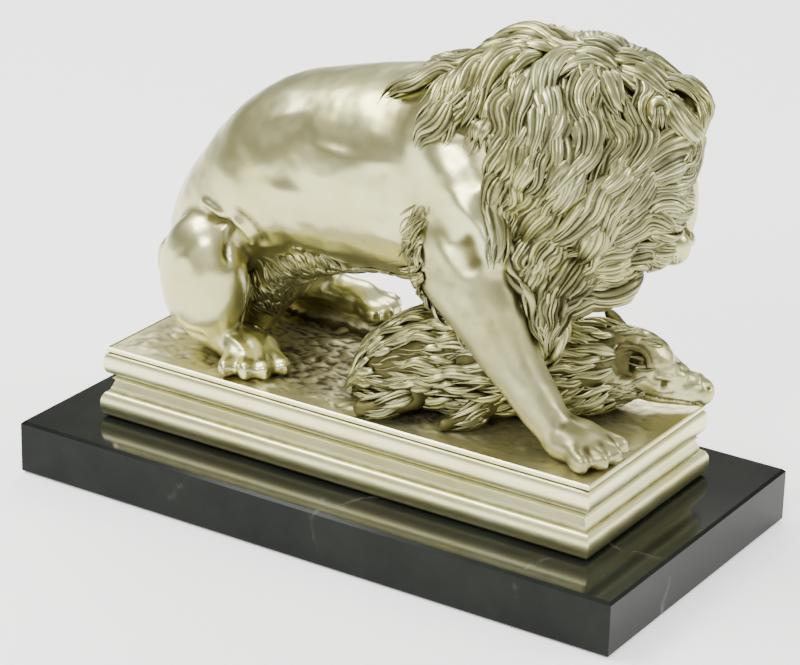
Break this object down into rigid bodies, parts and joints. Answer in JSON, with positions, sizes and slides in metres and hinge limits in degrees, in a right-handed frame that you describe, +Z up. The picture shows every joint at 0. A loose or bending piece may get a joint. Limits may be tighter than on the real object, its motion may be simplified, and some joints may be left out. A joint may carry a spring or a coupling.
{
  "type": "lion sculpture",
  "caption": "Bronze sculpture of a maned lion standing over a fallen boar on a moulded rectangular base, set on a polished black marble plinth.",
  "frame": {"origin": "middle of the plinth's underside", "axes": "+X along the plinth towards the lion's head, +Z up"},
  "size_m": [0.3, 0.155, 0.2291],
  "materials": {
    "bronze": "polished pale gold bronze with a darker patina in the hollows",
    "black_marble": "polished black marble with thin pale veins"
  },
  "bodies": {
    "root": {"bronze_lion_group": "bronze", "marble_plinth": "black_marble"}
  },
  "joints": []
}
